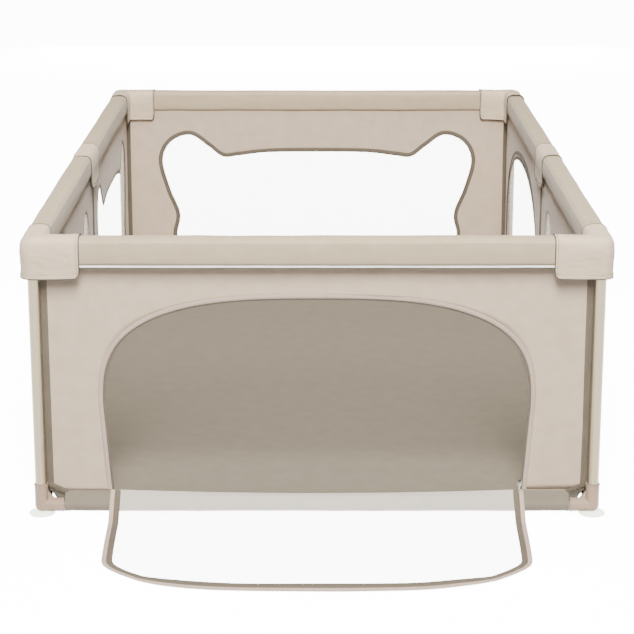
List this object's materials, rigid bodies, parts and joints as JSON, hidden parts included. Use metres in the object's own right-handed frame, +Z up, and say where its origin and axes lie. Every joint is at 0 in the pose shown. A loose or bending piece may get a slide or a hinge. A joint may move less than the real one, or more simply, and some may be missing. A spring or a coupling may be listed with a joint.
{
  "type": "playpen",
  "caption": "Rectangular baby playpen with a plug-together tube frame, padded rails, fabric walls with mesh windows, floor mat and a zip-open mesh front door.",
  "frame": {"origin": "centre of the pen's footprint on the floor, at the underside of the floor mat", "axes": "+Z up; -Y is the front with the door, which lies open on the floor at rest; +Y towards the back"},
  "size_m": [1.231, 2.1923, 0.6079],
  "materials": {
    "tube_lacquer": "satin champagne lacquer on steel tube",
    "fitting_plastic": "moulded nylon, satin",
    "clear_pvc": "clear soft PVC",
    "foam": "polyethylene foam",
    "rail_fabric": "beige oxford polyester",
    "wall_fabric": "beige oxford polyester",
    "window_mesh": "fine white polyester mesh",
    "tape": "taupe woven tape",
    "binding": "folded polyester binding with coil zip",
    "base_fabric": "taupe coated oxford polyester",
    "zip_metal": "nickel-plated zinc"
  },
  "bodies": {
    "frame": {"post_front_left": "tube_lacquer", "post_front_right": "tube_lacquer", "post_back_left": "tube_lacquer", "post_back_right": "tube_lacquer", "post_middle_left": "tube_lacquer", "post_middle_right": "tube_lacquer", "top_tube_front": "tube_lacquer", "top_tube_back": "tube_lacquer", "top_tube_left_front": "tube_lacquer", "top_tube_left_back": "tube_lacquer", "top_tube_right_front": "tube_lacquer", "top_tube_right_back": "tube_lacquer", "bottom_tube_front": "tube_lacquer", "bottom_tube_back": "tube_lacquer", "bottom_tube_left_front": "tube_lacquer", "bottom_tube_left_back": "tube_lacquer", "bottom_tube_right_front": "tube_lacquer", "bottom_tube_right_back": "tube_lacquer", "base_fitting_front_left": "fitting_plastic", "base_fitting_front_right": "fitting_plastic", "base_fitting_back_left": "fitting_plastic", "base_fitting_back_right": "fitting_plastic", "base_fitting_middle_left": "fitting_plastic", "base_fitting_middle_right": "fitting_plastic", "top_corner_fittings": "fitting_plastic", "top_side_fittings": "fitting_plastic", "suction_cups": "clear_pvc", "rail_foams": "foam", "rail_cover_front": "rail_fabric", "rail_cover_back": "rail_fabric", "rail_cover_left_front": "rail_fabric", "rail_cover_left_back": "rail_fabric", "rail_cover_right_front": "rail_fabric", "rail_cover_right_back": "rail_fabric", "corner_cap_front_left": "rail_fabric", "corner_cap_front_right": "rail_fabric", "corner_cap_back_left": "rail_fabric", "corner_cap_back_right": "rail_fabric", "middle_cap_left": "rail_fabric", "middle_cap_right": "rail_fabric", "wall_front": "wall_fabric", "wall_back": "wall_fabric", "wall_left_front": "wall_fabric", "wall_left_back": "wall_fabric", "wall_right_front": "wall_fabric", "wall_right_back": "wall_fabric", "window_mesh_back": "window_mesh", "window_mesh_left": "window_mesh", "window_mesh_right": "window_mesh", "window_tapes": "tape", "corner_ties": "tape", "doorway_zip": "binding", "base_sleeves": "base_fabric", "floor_mat": "base_fabric"},
    "door_lower": {"door_lower_mesh": "window_mesh", "door_lower_zip": "binding"},
    "door_leaf": {"door_mesh": "window_mesh", "door_zip": "binding"},
    "zip_slider": {"zip_slider": "zip_metal"},
    "zip_pull": {"zip_pull": "zip_metal"}
  },
  "joints": [
    {"name": "door", "type": "hinge", "parent": "frame", "child": "door_lower", "pos_m": [0, -0.873, 0.047], "axis": [-1, 0, 0], "range_deg": [0, 123.01]},
    {"name": "door_fold", "type": "hinge", "parent": "door_lower", "child": "door_leaf", "pos_m": [0, -0.94365, 0.0011], "axis": [1, 0, 0], "range_deg": [0, 33.02]},
    {"name": "slider_travel", "type": "slide", "parent": "frame", "child": "zip_slider", "axis": [0.0731, 0, 0.9973], "range_m": [0, 0.17]},
    {"name": "pull_swing", "type": "hinge", "parent": "zip_slider", "child": "zip_pull", "pos_m": [0.43324, -0.87735, 0.06399], "axis": [-0.9973, 0, 0.0731], "range_deg": [0, 160]}
  ],
  "couplings": [
    {"joint": "door_fold", "follows": "door", "ratio": 0.26835}
  ]
}
